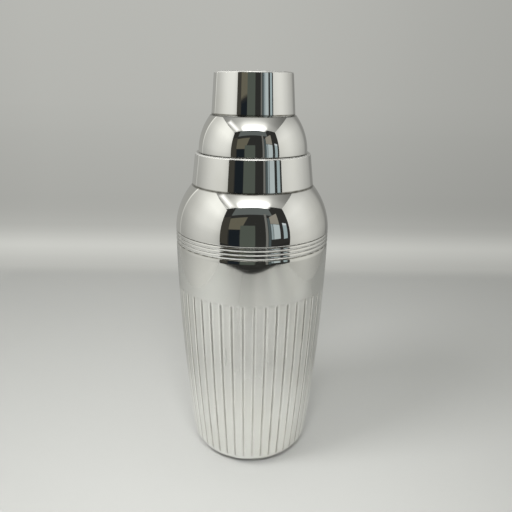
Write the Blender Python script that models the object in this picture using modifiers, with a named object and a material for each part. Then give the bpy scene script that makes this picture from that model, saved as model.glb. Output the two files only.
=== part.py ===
"""A three-piece cocktail shaker: fluted vessel, strainer lid and pouring cap, in metres, +Z up.

The origin is the centre of the face that the vessel rests on. Every piece is turned about Z.
Sheet pieces are an outer line, turned and thickened inwards. Thick pieces are a closed section, turned.
"""

import math

import bmesh
import bpy

# Driving dimensions of the vessel.
MAX_RADIUS = 0.045
WIDEST_Z = 0.1444
TAPER = 0.0091
TAPER_POWER = 1.94
SHOULDER_RISE = 0.0421
FOOT_ROUND = 0.0112
REST_HOLE_RADIUS = 0.022
SHEET = 0.0009
GAP = 0.0003

# The three reeds of the ring band, and the grooves above and below them.
REED_COUNT = 3
BAND_TOP_Z = 0.1450
REED_PITCH = 0.00233
REED_DEPTH = 0.0004
LAP_TOP_Z = 0.1480

# The flutes: narrow V grooves that leave broad panels between them.
FLUTE_COUNT = 44
FLUTE_PHASE = math.radians(2.3)
FLUTE_TOP_Z = 0.1122
FLUTE_BOTTOM_Z = 0.0065
FLUTE_TOOL_RADIUS = 0.0009
FLUTE_DEPTH = 0.0005
FLUTE_RUN_OUT = 0.0035

# The neck of the vessel and the strainer lid that slides over it.
SHOULDER_HOLE_RADIUS = 0.0336
NECK_TOP_Z = 0.1845
NECK_WALL = 0.0009
NECK_TOP_RADIUS = 0.0320
NECK_BOTTOM_RADIUS = 0.0326
NECK_FLARE = 0.0022
LID_BOTTOM_Z = 0.1710
LID_BOTTOM_RADIUS = 0.0351
LID_RIM_SLANT = 0.00115
LEDGE_Z = 0.1890
LEDGE_RADIUS = 0.0329
LEDGE_HOLE_RADIUS = 0.0285
LEDGE_ROUND = 0.0010
LID_WALL = 0.0010
DOME_RADIUS = 0.03096
SEAT_Z = 0.2093
SEAT_RADIUS = 0.0241

# The pouring neck, its strainer and the cap over it.
POUR_BOTTOM_RADIUS = 0.0222
POUR_TOP_RADIUS = 0.0213
POUR_TOP_Z = 0.2225
POUR_WALL = 0.0008
STRAINER_Z = 0.2075
STRAINER_THICKNESS = 0.0008
STRAINER_RADIUS = 0.0210
HOLE_RADIUS = 0.0012
HOLE_ROWS = 3
HOLE_ROW_SPACING = 0.0052
CAP_BOTTOM_Z = SEAT_Z + GAP
CAP_BOTTOM_RADIUS = 0.02345
CAP_TOP_RADIUS = 0.0218
CAP_TOP_Z = 0.2320
CAP_ROUND = 0.0010

# How finely the pieces are turned.
BODY_STEPS = FLUTE_COUNT
WIDE_STEPS = 52
NARROW_STEPS = 40
MERGE = 0.00005


def clear_scene():
    for obj in list(bpy.data.objects):
        bpy.data.objects.remove(obj, do_unlink=True)


def new_collection(name, hidden=False):
    collection = bpy.data.collections.new(name)
    bpy.context.scene.collection.children.link(collection)
    collection.hide_render = hidden
    return collection


def metal(name, colour, roughness):
    """A Principled BSDF of one polished metal."""
    material = bpy.data.materials.new(name)
    material.use_nodes = True
    shader = material.node_tree.nodes["Principled BSDF"]
    shader.inputs["Base Color"].default_value = (*colour, 1.0)
    shader.inputs["Metallic"].default_value = 1.0
    shader.inputs["Roughness"].default_value = roughness
    return material


def arc(centre, radius, start, end, count):
    """Points of a circular arc in the (radius, height) plane, from angle start to angle end, in degrees."""
    angles = [math.radians(start + (end - start) * i / count) for i in range(count + 1)]
    return [(centre[0] + radius * math.cos(a), centre[1] + radius * math.sin(a)) for a in angles]


def ellipse_line(radius, rise, base_z, start_radius, end_radius, count):
    """Points down an elliptical dome, from start_radius out to end_radius, evenly spaced in angle."""
    first = math.asin(start_radius / radius)
    last = math.asin(min(1.0, end_radius / radius))
    angles = [first + (last - first) * i / count for i in range(count + 1)]
    return [(radius * math.sin(a), base_z + rise * math.cos(a)) for a in angles]


def taper_radius(z):
    """Outer radius of the vessel's wall at a height below its widest point."""
    return MAX_RADIUS - TAPER * ((WIDEST_Z - z) / WIDEST_Z) ** TAPER_POWER


def foot_arc(count):
    """The round at the foot, from where it leaves the tapered wall to the flat that rests."""
    slope = TAPER * TAPER_POWER / WIDEST_Z * ((WIDEST_Z - FOOT_ROUND) / WIDEST_Z) ** (TAPER_POWER - 1)
    lean = math.atan(slope)
    tangent_z = FOOT_ROUND * (1 - math.sin(lean))
    centre = (taper_radius(tangent_z) - FOOT_ROUND * math.cos(lean), FOOT_ROUND)
    return arc(centre, FOOT_ROUND, -math.degrees(lean), -90, count)


def turned(name, profile, steps, material, collection, closed=True, wall=0.0):
    """A piece turned about Z from a profile of (radius, height) points that runs down its outer side."""
    base_z = min(z for _, z in profile)
    mesh = bpy.data.meshes.new(name)
    points = [(r, 0.0, z - base_z) for r, z in profile]
    edges = [(i, i + 1) for i in range(len(points) - 1)]
    if closed:
        edges.append((len(points) - 1, 0))
    mesh.from_pydata(points, edges, [])
    obj = bpy.data.objects.new(name, mesh)
    obj.location = (0.0, 0.0, base_z)
    collection.objects.link(obj)
    mesh.materials.append(material)
    screw = obj.modifiers.new("Turn", "SCREW")
    screw.axis = "Z"
    screw.steps = steps
    screw.render_steps = steps
    screw.use_merge_vertices = True
    screw.merge_threshold = MERGE
    screw.use_smooth_shade = True
    if wall:
        solidify = obj.modifiers.new("Sheet", "SOLIDIFY")
        solidify.thickness = wall
        solidify.offset = -1.0
        solidify.use_even_offset = True
    return obj


def evaluated_copy(obj, name, collection):
    """A mesh object of what a curve or a modified object evaluates to, in the same place."""
    bpy.context.view_layer.update()
    graph = bpy.context.evaluated_depsgraph_get()
    mesh = bpy.data.meshes.new_from_object(obj.evaluated_get(graph))
    copy = bpy.data.objects.new(name, mesh)
    copy.matrix_world = obj.matrix_world
    collection.objects.link(copy)
    return copy


def cutter(obj):
    obj.hide_render = True
    obj.display_type = "WIRE"
    return obj


def cut(obj, tool, name):
    boolean = obj.modifiers.new(name, "BOOLEAN")
    boolean.operation = "DIFFERENCE"
    boolean.solver = "EXACT"
    boolean.object = tool


def flute_path(count):
    """The tool's centre line down one flute: out of the wall at both ends, and FLUTE_DEPTH deep between."""
    clear = FLUTE_TOOL_RADIUS + FLUTE_DEPTH
    above_wall = FLUTE_TOOL_RADIUS - FLUTE_DEPTH
    points = [(taper_radius(FLUTE_TOP_Z) + clear, FLUTE_TOP_Z)]
    top = FLUTE_TOP_Z - FLUTE_RUN_OUT
    bottom = FLUTE_BOTTOM_Z + 2 * FLUTE_RUN_OUT
    for i in range(count + 1):
        z = top + (bottom - top) * i / count
        points.append((taper_radius(z) + above_wall, z))
    points.append((taper_radius(FLUTE_BOTTOM_Z) + above_wall, FLUTE_BOTTOM_Z))
    return points


def flute_tool(collection):
    """All the flutes' cutters in one object: a square rod along the path, copied round the axis."""
    curve = bpy.data.curves.new("flute_path", "CURVE")
    curve.dimensions = "3D"
    curve.bevel_depth = FLUTE_TOOL_RADIUS
    curve.bevel_resolution = 0
    curve.use_fill_caps = True
    path = flute_path(4)
    spline = curve.splines.new("POLY")
    spline.points.add(len(path) - 1)
    for point, (r, z) in zip(spline.points, path):
        point.co = (r, 0.0, z, 1.0)
    rod = bpy.data.objects.new("flute_path", curve)
    collection.objects.link(rod)
    tool = evaluated_copy(rod, "flute_cutters", collection)
    bpy.data.objects.remove(rod, do_unlink=True)

    mesh = bmesh.new()
    mesh.from_mesh(tool.data)
    bmesh.ops.remove_doubles(mesh, verts=mesh.verts, dist=MERGE / 5)
    bmesh.ops.recalc_face_normals(mesh, faces=mesh.faces)
    bmesh.ops.spin(
        mesh,
        geom=mesh.verts[:] + mesh.edges[:] + mesh.faces[:],
        cent=(0, 0, 0),
        axis=(0, 0, 1),
        angle=2 * math.pi * (FLUTE_COUNT - 1) / FLUTE_COUNT,
        steps=FLUTE_COUNT - 1,
        use_duplicate=True,
    )
    mesh.to_mesh(tool.data)
    mesh.free()
    return cutter(tool)


def make_fluted_body(collection, cutters):
    """The tapered wall with its round foot, a last reed at the top and a lap that rises behind the ring band."""
    lap_radius = MAX_RADIUS - SHEET - GAP
    reeds_bottom = BAND_TOP_Z - REED_COUNT * REED_PITCH
    seam_z = reeds_bottom - GAP / 2
    profile = [(lap_radius, LAP_TOP_Z), (lap_radius, seam_z)]
    profile.append((taper_radius(seam_z) - REED_DEPTH, seam_z))
    profile.append((taper_radius(seam_z), seam_z - REED_PITCH / 3))
    foot = foot_arc(4)
    wall_top = seam_z - REED_PITCH * 1.5
    wall_steps = 6
    for i in range(wall_steps):
        z = wall_top + (foot[0][1] - wall_top) * i / wall_steps
        profile.append((taper_radius(z), z))
    profile += foot
    profile.append((REST_HOLE_RADIUS, 0.0))
    material = metal("fluted_silver", (0.87, 0.87, 0.85), 0.09)
    body = turned("fluted_body", profile, BODY_STEPS, material, collection, closed=False, wall=SHEET)
    body.rotation_euler.z = FLUTE_PHASE - math.pi / 2
    tool = flute_tool(cutters)
    tool.rotation_euler.z = FLUTE_PHASE - math.pi / 2
    cut(body, tool, "Flutes")
    return body


def make_base_plate(collection):
    """A pressed disc with a raised middle, soldered in over the hole in the vessel's foot."""
    edge_z = SHEET + GAP + 0.0001
    top = [(0.0, 0.0030), (0.010, 0.0027), (0.019, 0.0012), (0.0245, 0.0)]
    upper = [(r, edge_z + SHEET + rise) for r, rise in top]
    lower = [(r, edge_z + rise) for r, rise in reversed(top)]
    material = metal("base_silver", (0.84, 0.84, 0.82), 0.16)
    return turned("base_plate", upper + lower, NARROW_STEPS, material, collection, closed=False)


def make_ring_band(collection):
    """Three rounded reeds on one collar, which covers the joint of the body and the shoulder."""
    inner = MAX_RADIUS - SHEET
    top = BAND_TOP_Z - GAP / 2
    bottom = BAND_TOP_Z - REED_COUNT * REED_PITCH + GAP / 2
    steps = 3 * REED_COUNT
    section = [(inner, top)]
    for i in range(steps + 1):
        bulge = abs(math.sin(math.pi * i / 3))
        section.append((MAX_RADIUS - REED_DEPTH * (1 - bulge), top + (bottom - top) * i / steps))
    section.append((inner, bottom))
    material = metal("ring_silver", (0.88, 0.88, 0.86), 0.06)
    return turned("ring_band", section, WIDE_STEPS, material, collection)


def make_shoulder(collection):
    """The domed top of the vessel, from the hole for the neck out to the ring band."""
    profile = ellipse_line(MAX_RADIUS, SHOULDER_RISE, WIDEST_Z, SHOULDER_HOLE_RADIUS, MAX_RADIUS, 8)
    profile[-1] = (MAX_RADIUS, BAND_TOP_Z + GAP / 2)
    material = metal("shoulder_silver", (0.88, 0.88, 0.86), 0.04)
    return turned(
        "shoulder", profile, WIDE_STEPS, material, collection, closed=False, wall=SHEET
    )


def make_neck_collar(collection):
    """The tapered neck that the lid slides over, with a flared foot under the edge of the shoulder."""
    inset = SHEET + GAP
    flare = ellipse_line(
        MAX_RADIUS - inset,
        SHOULDER_RISE - inset,
        WIDEST_Z,
        NECK_BOTTOM_RADIUS,
        NECK_BOTTOM_RADIUS + NECK_FLARE,
        2,
    )
    root_z = flare[0][1]
    outer = [(NECK_TOP_RADIUS, NECK_TOP_Z), (NECK_BOTTOM_RADIUS, root_z + inset)] + flare
    inner = [(r - NECK_WALL * 0.7, z - NECK_WALL * 0.7) for r, z in reversed(flare)]
    inner.append((NECK_BOTTOM_RADIUS - NECK_WALL, root_z + GAP))
    inner.append((NECK_TOP_RADIUS - NECK_WALL, NECK_TOP_Z))
    material = metal("neck_silver", (0.86, 0.86, 0.84), 0.08)
    return turned("neck_collar", outer + inner, WIDE_STEPS, material, collection)


def lid_radius(z):
    """Outer radius of the lid's tapered band."""
    share = (z - LID_BOTTOM_Z) / (LEDGE_Z - LID_BOTTOM_Z)
    return LID_BOTTOM_RADIUS + (LEDGE_RADIUS - LID_BOTTOM_RADIUS) * share


def make_lid_band(collection):
    """The tapered sleeve of the lid, turned in at the top as the ledge that the dome stands on."""
    corner = (LEDGE_RADIUS - LEDGE_ROUND, LEDGE_Z - LEDGE_ROUND)
    under = LEDGE_Z - LID_WALL
    section = [(LEDGE_HOLE_RADIUS, LEDGE_Z)]
    section += arc(corner, LEDGE_ROUND, 90, 0, 3)
    section.append((LID_BOTTOM_RADIUS, LID_BOTTOM_Z))
    section.append((LID_BOTTOM_RADIUS - LID_WALL, LID_BOTTOM_Z + LID_RIM_SLANT))
    section += [(lid_radius(under) - LID_WALL, under), (LEDGE_HOLE_RADIUS, under)]
    material = metal("lid_band_silver", (0.88, 0.88, 0.86), 0.05)
    return turned("lid_band", section, WIDE_STEPS, material, collection)


def make_lid_dome(collection):
    """The dome of the lid, with a flat seat at the top for the cap's edge."""
    rise = (SEAT_Z - LEDGE_Z) / math.sqrt(1 - (SEAT_RADIUS / DOME_RADIUS) ** 2)
    profile = [(POUR_BOTTOM_RADIUS + GAP, SEAT_Z)]
    profile += ellipse_line(DOME_RADIUS, rise, LEDGE_Z, SEAT_RADIUS, DOME_RADIUS, 7)
    profile[-1] = (DOME_RADIUS, LEDGE_Z + GAP)
    material = metal("dome_silver", (0.88, 0.88, 0.86), 0.04)
    return turned("lid_dome", profile, WIDE_STEPS, material, collection, closed=False, wall=SHEET)


def make_pour_neck(collection):
    """The tapered pouring neck, with a flange under the dome's seat."""
    flange_top = SEAT_Z - SHEET - GAP
    flange_bottom = flange_top - POUR_WALL
    flange_radius = POUR_BOTTOM_RADIUS + 0.0012
    outer = [(POUR_TOP_RADIUS, POUR_TOP_Z), (POUR_BOTTOM_RADIUS, SEAT_Z)]
    outer += [(POUR_BOTTOM_RADIUS, flange_top), (flange_radius, flange_top)]
    inner = [(flange_radius, flange_bottom), (POUR_BOTTOM_RADIUS - POUR_WALL, flange_bottom)]
    inner += [(POUR_BOTTOM_RADIUS - POUR_WALL, SEAT_Z), (POUR_TOP_RADIUS - POUR_WALL, POUR_TOP_Z)]
    material = metal("pour_neck_silver", (0.86, 0.86, 0.84), 0.08)
    return turned("pour_neck", outer + inner, NARROW_STEPS, material, collection)


def hole_centres():
    """One hole in the middle, and rows of six more holes each round it."""
    centres = [(0.0, 0.0)]
    for row in range(1, HOLE_ROWS + 1):
        for i in range(6 * row):
            angle = 2 * math.pi * i / (6 * row)
            radius = row * HOLE_ROW_SPACING
            centres.append((radius * math.cos(angle), radius * math.sin(angle)))
    return centres


def make_strainer_plate(collection, cutters):
    """The perforated disc across the foot of the pouring neck."""
    disc = bpy.data.meshes.new("strainer_plate")
    plate = bmesh.new()
    bmesh.ops.create_cone(
        plate,
        cap_ends=True,
        segments=NARROW_STEPS,
        radius1=STRAINER_RADIUS,
        radius2=STRAINER_RADIUS,
        depth=STRAINER_THICKNESS,
    )
    plate.to_mesh(disc)
    plate.free()
    disc.shade_smooth()
    disc.set_sharp_from_angle(angle=math.radians(40))
    obj = bpy.data.objects.new("strainer_plate", disc)
    obj.location = (0.0, 0.0, STRAINER_Z + STRAINER_THICKNESS / 2)
    collection.objects.link(obj)
    disc.materials.append(metal("strainer_steel", (0.78, 0.78, 0.77), 0.2))

    pins = bmesh.new()
    for x, y in hole_centres():
        made = bmesh.ops.create_cone(
            pins,
            cap_ends=True,
            segments=8,
            radius1=HOLE_RADIUS,
            radius2=HOLE_RADIUS,
            depth=STRAINER_THICKNESS * 4,
        )
        bmesh.ops.translate(pins, verts=made["verts"], vec=(x, y, 0.0))
    mesh = bpy.data.meshes.new("hole_cutters")
    pins.to_mesh(mesh)
    pins.free()
    tool = bpy.data.objects.new("hole_cutters", mesh)
    tool.location = obj.location
    cutters.objects.link(tool)
    cut(obj, cutter(tool), "Holes")
    return obj


def make_cap(collection):
    """The tapered cap, drawn in one piece with its flat top."""
    corner = (CAP_TOP_RADIUS - CAP_ROUND, CAP_TOP_Z - CAP_ROUND)
    profile = [(0.0, CAP_TOP_Z)] + arc(corner, CAP_ROUND, 90, 4, 3)
    profile.append((CAP_BOTTOM_RADIUS, CAP_BOTTOM_Z))
    material = metal("cap_silver", (0.88, 0.88, 0.86), 0.04)
    return turned("cap", profile, WIDE_STEPS, material, collection, closed=False, wall=SHEET)


def axis_empty(name, z, collection, parent=None):
    """An empty on the joint's axis, which carries the pieces that move together."""
    empty = bpy.data.objects.new(name, None)
    empty.empty_display_size = 0.01
    empty.location = (0.0, 0.0, z - (parent.location.z if parent else 0.0))
    empty.parent = parent
    collection.objects.link(empty)
    return empty


def carry(empty, height, pieces):
    """Parents the pieces to the empty, whose world height is given, without moving them."""
    for piece in pieces:
        piece.location.z -= height
        piece.parent = empty


def main():
    clear_scene()
    shaker = new_collection("cocktail_shaker")
    cutters = new_collection("cutters", hidden=True)
    make_fluted_body(shaker, cutters)
    make_base_plate(shaker)
    make_ring_band(shaker)
    make_shoulder(shaker)
    make_neck_collar(shaker)
    lid = [
        make_lid_band(shaker),
        make_lid_dome(shaker),
        make_pour_neck(shaker),
    ]
    strainer = make_strainer_plate(shaker, cutters)
    cap = make_cap(shaker)
    lid_axis = axis_empty("strainer_lid_axis", LID_BOTTOM_Z, shaker)
    cap_axis = axis_empty("cap_axis", CAP_BOTTOM_Z, shaker, parent=lid_axis)
    hole_tool = bpy.data.objects["hole_cutters"]
    carry(lid_axis, LID_BOTTOM_Z, lid + [strainer, hole_tool])
    carry(cap_axis, CAP_BOTTOM_Z, [cap])


main()
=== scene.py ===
"""Looks for the cocktail shaker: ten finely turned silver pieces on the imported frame, in a small light tent.

Metres, +Z up, -Y towards the viewer. Each piece stands for one CAD node and keeps that node's sizes.
"""

import math

import bmesh
import bpy
from mathutils import Matrix, Vector


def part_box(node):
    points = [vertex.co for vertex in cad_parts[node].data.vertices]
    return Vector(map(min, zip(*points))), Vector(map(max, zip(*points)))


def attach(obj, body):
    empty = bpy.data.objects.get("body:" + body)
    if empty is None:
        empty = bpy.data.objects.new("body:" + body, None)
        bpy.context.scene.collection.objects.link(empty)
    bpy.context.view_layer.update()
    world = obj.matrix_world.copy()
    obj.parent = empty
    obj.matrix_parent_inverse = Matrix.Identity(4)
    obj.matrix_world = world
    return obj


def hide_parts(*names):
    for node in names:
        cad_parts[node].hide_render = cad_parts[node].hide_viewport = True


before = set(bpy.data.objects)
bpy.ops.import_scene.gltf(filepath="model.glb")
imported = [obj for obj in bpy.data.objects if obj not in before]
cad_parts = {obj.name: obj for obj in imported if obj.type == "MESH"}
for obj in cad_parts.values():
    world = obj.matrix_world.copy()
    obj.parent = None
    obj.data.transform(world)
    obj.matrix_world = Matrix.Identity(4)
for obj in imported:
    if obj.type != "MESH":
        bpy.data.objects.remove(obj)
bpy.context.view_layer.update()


def size(node):
    """A CAD node's outer radius, lowest height and highest height."""
    low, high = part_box(node)
    return high.x, low.z, high.z


# Sizes read from the frame.
MAX_RADIUS, SHOULDER_EDGE_Z, _ = size("shoulder")
_, BAND_BOTTOM_Z, BAND_TOP_Z = size("ring_band")
_, REST_Z, LAP_TOP_Z = size("fluted_body")
_, PLATE_Z, PLATE_TOP_Z = size("base_plate")
PLATE_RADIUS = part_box("base_plate")[1].x
NECK_FOOT_RADIUS, _, NECK_TOP_Z = size("neck_collar")
LID_RADIUS, LID_BOTTOM_Z, LEDGE_Z = size("lid_band")
DOME_RADIUS, DOME_BASE_Z, SEAT_Z = size("lid_dome")
FLANGE_RADIUS, FLANGE_Z, POUR_TOP_Z = size("pour_neck")
STRAINER_RADIUS, STRAINER_Z, STRAINER_TOP_Z = size("strainer_plate")
CAP_RADIUS, CAP_BOTTOM_Z, CAP_TOP_Z = size("cap")

# Shape of the vessel, as the CAD model has it.
WIDEST_Z = 0.1444
TAPER = 0.0091
TAPER_POWER = 1.94
SHOULDER_RISE = 0.0421
FOOT_ROUND = 0.0112
WALL_START_Z = 0.0125
REST_HOLE_RADIUS = 0.022
SHEET = 0.0009
GAP = 0.0003
REED_COUNT = 3
REED_DEPTH = 0.0004
SHOULDER_HOLE_RADIUS = 0.0336
NECK_TOP_RADIUS = 0.0320
NECK_BOTTOM_RADIUS = 0.0326

# Shape of the lid and the cap.
LID_WALL = 0.0010
LID_RIM_SLANT = 0.00115
LEDGE_RADIUS = 0.0329
LEDGE_HOLE_RADIUS = 0.0285
SEAT_RADIUS = 0.0241
POUR_BOTTOM_RADIUS = 0.0222
POUR_TOP_RADIUS = 0.0213
POUR_WALL = 0.0008
CAP_TOP_RADIUS = 0.0218
HOLE_RADIUS = 0.0012
HOLE_ROWS = 3
HOLE_ROW_SPACING = 0.0052

# Detail that only the visual pieces have: rounded edges, how far painted shade reaches up open edges, the last
# reed, and the inner lines of the domes.
CORNER_ROUND = 0.0010
EDGE_ROUND = 0.00025
EDGE_SHADE_REACH = 0.0006
LAST_REED_HEIGHT = 0.0022
SHOULDER_INNER_EDGE = 0.0438
DOME_INNER_EDGE = 0.0298
HOLE_BEVEL = 0.0006
DOME_STEP = 0.0001

# How near to its edge the outer line of a dome goes, as a share of the dome's radius.
NEAR_EDGE = 0.9999

# The flutes: narrow grooves that leave broad, slightly crowned panels.
FLUTE_COUNT = 44
FLUTE_PHASE = math.radians(2.3)
FLUTE_PITCH = 2 * math.pi / FLUTE_COUNT
FLUTE_TOP_Z = 0.1122
FLUTE_BOTTOM_Z = 0.0050
FLUTE_DEPTH = 0.00050
FLUTE_HALF_WIDTH = 0.00095
FLUTE_RUN_OUT = 0.0020
FLUTE_MARGIN = 0.0004
PANEL_CROWN = 0.00021

# How far in, and how far up, the points of the shoulder's rounded lower edge lie.
SHOULDER_EDGE_POINTS = ((0.00001, 0.0004), (0.00008, 0.0002), (0.00025, 0.00006), (0.0004, 0.0))

# Sides of the turned pieces, of the strainer and of its holes, and the radius that counts as on the axis.
SEGMENTS = 256
DISC_SEGMENTS = 96
HOLE_SEGMENTS = 28
ON_AXIS = 0.000001

# How far the edges and the flanks of the flutes are worn, how strong the painted shade in the flutes at the
# front and the back is beside that at the sides, and how metallic fully worn silver still looks.
EDGE_WEAR = 0.25
FLANK_WEAR = 0.42
FLUTE_SHADE_FRONT = 0.46
MATT_METAL = 0.25

# The camera.
CAMERA_PLACE = Vector((-0.0004, -0.2935, 0.2237))
CAMERA_TILT = math.radians(18.41)
CAMERA_TURN = math.radians(0.58)
CAMERA_ROLL = math.radians(0.82)
CAMERA_LENS = 35.53

# The light tent round the shaker, as it shows in the silver.
SILVER_SHARE = 0.93
TENT_LEFT = -0.300
TENT_RIGHT = 0.331
TENT_TOP = 0.480
TENT_BACK = 0.450
LEFT_FRONT = -0.305
LEFT_BACK = 0.220
RIGHT_FRONT = -0.247
FLOOR_FRONT = -0.3685
FLOOR_FRONT_CURVE = 2.85
APRON_Z = 0.0003
FOLD_HEIGHT = 0.055
FOLD_INSET = 0.003
LEFT_FOLD_SHADE = 0.77
RIGHT_FOLD_SHADE = 0.69
CORNER_LINE_INSET = 0.002
CORNER_LINE_REACH = 0.02
CEILING_INSET = 0.002
WALL_TINT = (1.0, 1.0, 0.945)
LAMP_TINT = (1.0, 0.99, 0.96)

# How much of the floor's reflection is kept, across and in depth, and how that sets in away from the foot.
FLOOR_SHADE = (
    (-0.33, 1.0), (-0.22, 0.95), (-0.10, 0.78), (0.0, 0.69), (0.08, 0.73), (0.15, 0.86), (0.33, 0.96),
)
FLOOR_SHADE_DEEP = ((-0.12, 1.0), (0.10, 0.84), (0.40, 0.84))
FLOOR_SHADE_REACH = ((0.05, 0.0), (0.085, 0.25), (0.14, 1.0))

# Light added to the floor's reflection: name, light, and its fades across and in depth.
FLOOR_LIGHTS = (
    (
        "window_light",
        0.098,
        (
            (-0.08, 0.0), (-0.04, 0.2), (0.0, 0.4), (0.05, 1.05), (0.10, 0.7), (0.14, 0.7), (0.185, 1.15),
            (0.22, 0.6), (0.25, 0.35), (0.29, 0.6), (0.33, 0.6),
        ),
        ((-0.40, 0.3), (-0.35, 0.9), (-0.30, 1.0), (-0.25, 0.75), (-0.20, 0.35), (-0.12, 0.0)),
    ),
    (
        "side_light",
        0.105,
        ((0.20, 0.0), (0.25, 0.5), (0.29, 1.0), (0.33, 1.0)),
        ((-0.34, 0.2), (-0.24, 0.7), (-0.17, 1.0), (-0.07, 1.0), (0.0, 0.45), (0.06, 0.0)),
    ),
)

# Shades of the tent's walls up their height, and shares of them in depth.
LEFT_WALL_UP = (
    (0.0, 0.72), (0.10, 0.75), (0.16, 0.785), (0.20, 0.835), (0.30, 0.90), (0.38, 0.98), (0.48, 1.02),
)
LEFT_WALL_DEEP = (
    (-0.31, 0.78), (-0.26, 0.90), (-0.19, 1.0), (-0.10, 1.0), (0.0, 0.86), (0.10, 0.68), (0.24, 0.60),
)
RIGHT_WALL_UP = (
    (0.0, 0.70), (0.06, 0.75), (0.10, 0.785), (0.16, 0.80), (0.20, 0.825), (0.30, 0.855), (0.36, 0.86),
    (0.48, 0.79),
)
RIGHT_WALL_DEEP = (
    (-0.25, 0.90), (-0.10, 1.0), (0.0, 0.90), (0.10, 0.74), (0.20, 0.62), (0.30, 0.52), (0.37, 0.40),
    (0.45, 0.33),
)
BACK_WALL_ACROSS = ((TENT_LEFT, 0.61), (0.0, 0.57), (TENT_RIGHT, 0.50))
CORNER_LINE_UP = ((0.0, 0.66), (0.20, 0.78), (0.30, 0.92), (0.45, 0.98))

# Shades of the ceiling in depth, and shares of them across.
CEILING_DEEP = ((-0.30, 0.85), (-0.20, 0.83), (-0.14, 0.72), (0.0, 0.60), (0.20, 0.56), (0.45, 0.54))
CEILING_ACROSS = ((-0.30, 0.80), (-0.15, 0.95), (0.0, 1.0), (0.12, 0.90), (0.22, 0.62), (0.33, 0.48))

# The light strips at the ceiling's front and left, and the dark seam beside the left one.
FRONT_LIGHT = 2.6
FRONT_LIGHT_SPAN = (-0.22, 0.26, LEFT_FRONT, -0.05)
FRONT_LIGHT_ACROSS = ((-0.20, 0.0), (-0.15, 0.10), (-0.09, 1.0), (0.12, 1.0), (0.175, 0.12), (0.24, 0.0))
FRONT_LIGHT_DEEP = ((-0.305, 0.7), (-0.285, 1.0), (-0.245, 1.0), (-0.215, 0.30), (-0.16, 0.06), (-0.06, 0.0))
LEFT_LIGHT = 1.35
LEFT_LIGHT_CORNERS = ((-0.300, -0.045), (-0.252, -0.295), (-0.165, -0.285), (-0.214, -0.050))
LEFT_LIGHT_EDGE = 0.042
LEFT_SEAM_SHADE = 0.42
LEFT_SEAM_EDGE = 0.003
LEFT_SEAM_CORNERS = ((-0.318, -0.03), (-0.262, -0.29), (-0.254, -0.29), (-0.310, -0.03))

# The room that the tent's open front looks out on, and the outlines in (x, z), tints and shades in it.
ROOM_Y = -0.60
ROOM_HALF_WIDTH = 1.4
ROOM_TINT = (1.0, 1.0, 0.93)
ROOM_SHADE = 0.175
APRON_SHADE = 0.155
ROOM_SHAPE_GAP = 0.02
ROOM_SHAPE_STEP = 0.001
ROOM_SHAPE_EDGE = 0.008
ROOM_SHAPES = (
    ("upper_haze", ((-0.42, 0.62), (0.40, 0.62), (0.34, 0.95), (-0.36, 0.95)), (0.90, 1.0, 0.97), 0.38),
    ("brown_wall", ((-0.64, -0.30), (-0.42, -0.30), (-0.42, 0.60), (-0.64, 0.60)), (1.0, 0.95, 0.78), 0.235),
    ("lit_board", ((-0.42, 0.30), (-0.17, 0.30), (-0.07, 0.56), (-0.42, 0.55)), (1.0, 0.93, 0.68), 0.38),
    ("dark_shelf", ((-0.40, -0.30), (-0.19, -0.30), (-0.19, 0.30), (-0.40, 0.30)), (0.60, 0.80, 1.0), 0.14),
    ("grey_door", ((-0.19, -0.30), (0.05, -0.30), (0.05, 0.38), (-0.19, 0.38)), (0.86, 1.0, 0.84), 0.325),
    ("grey_strip", ((0.21, -0.30), (0.26, -0.30), (0.26, 0.65), (0.21, 0.65)), (1.0, 1.0, 0.93), 0.43),
    ("slate_strip", ((0.26, -0.30), (0.31, -0.30), (0.31, 0.55), (0.26, 0.55)), (0.76, 0.97, 1.0), 0.33),
    ("window_top", ((0.31, 0.42), (0.52, 0.42), (0.52, 0.72), (0.31, 0.58)), (1.0, 0.94, 0.80), 0.53),
    ("window_edge", ((0.31, 0.12), (0.36, 0.12), (0.36, 0.42), (0.31, 0.42)), (0.80, 0.96, 1.0), 0.60),
    ("window", ((0.36, 0.12), (0.52, 0.12), (0.52, 0.42), (0.36, 0.42)), (0.86, 0.98, 1.0), 0.71),
    ("far_window", ((0.61, 0.10), (0.76, 0.10), (0.76, 0.42), (0.61, 0.42)), (0.78, 0.96, 1.0), 0.66),
    ("far_window_top", ((0.61, 0.41), (0.76, 0.41), (0.76, 0.47), (0.61, 0.47)), (0.88, 0.97, 1.0), 0.80),
)

# The backdrop behind it, its painted light as shades up its height and shares across.
BACKDROP_HALF_WIDTH = 0.60
BACKDROP_HALF_DEPTH = 0.45
BACKDROP_CORNER = 0.10
BACKDROP_FOOT = 0.16
BACKDROP_TOP = 1.2
BACKDROP_SOFT_FOOT = 0.0024
BACKDROP_TINT = (1.0, 1.005, 0.945)
BACKDROP_SHADES = (
    (0.0, 0.72), (0.0055, 0.74), (0.0097, 0.765), (0.015, 0.788), (0.0187, 0.793), (0.0243, 0.768),
    (0.030, 0.735), (0.0374, 0.70), (0.045, 0.685), (0.057, 0.668), (0.08, 0.667), (0.16, 0.69),
    (0.20, 0.706), (0.35, 0.72),
)
BACKDROP_ACROSS = ((-0.38, 0.97), (-0.20, 1.03), (0.0, 1.0), (0.20, 0.90), (0.40, 0.81))

# The floor, its lamps (name, place, target, width, depth, watts, spread in degrees) and the sky.
FLOOR_HALF_WIDTH = 3.0
FLOOR_COLOUR = (0.40, 0.402, 0.388, 1.0)
LAMPS = (
    ("main_lamp", (-0.38, -0.20, 0.64), (0.0, 0.0, 0.0), 0.20, 0.20, 3.15, 180),
    ("front_lamp", (0.0, -0.42, 0.50), (0.0, -0.06, 0.0), 0.26, 0.08, 0.37, 60),
)
SKY_COLOUR = (0.70, 0.705, 0.685, 1.0)


# Shader and mesh helpers.


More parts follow.
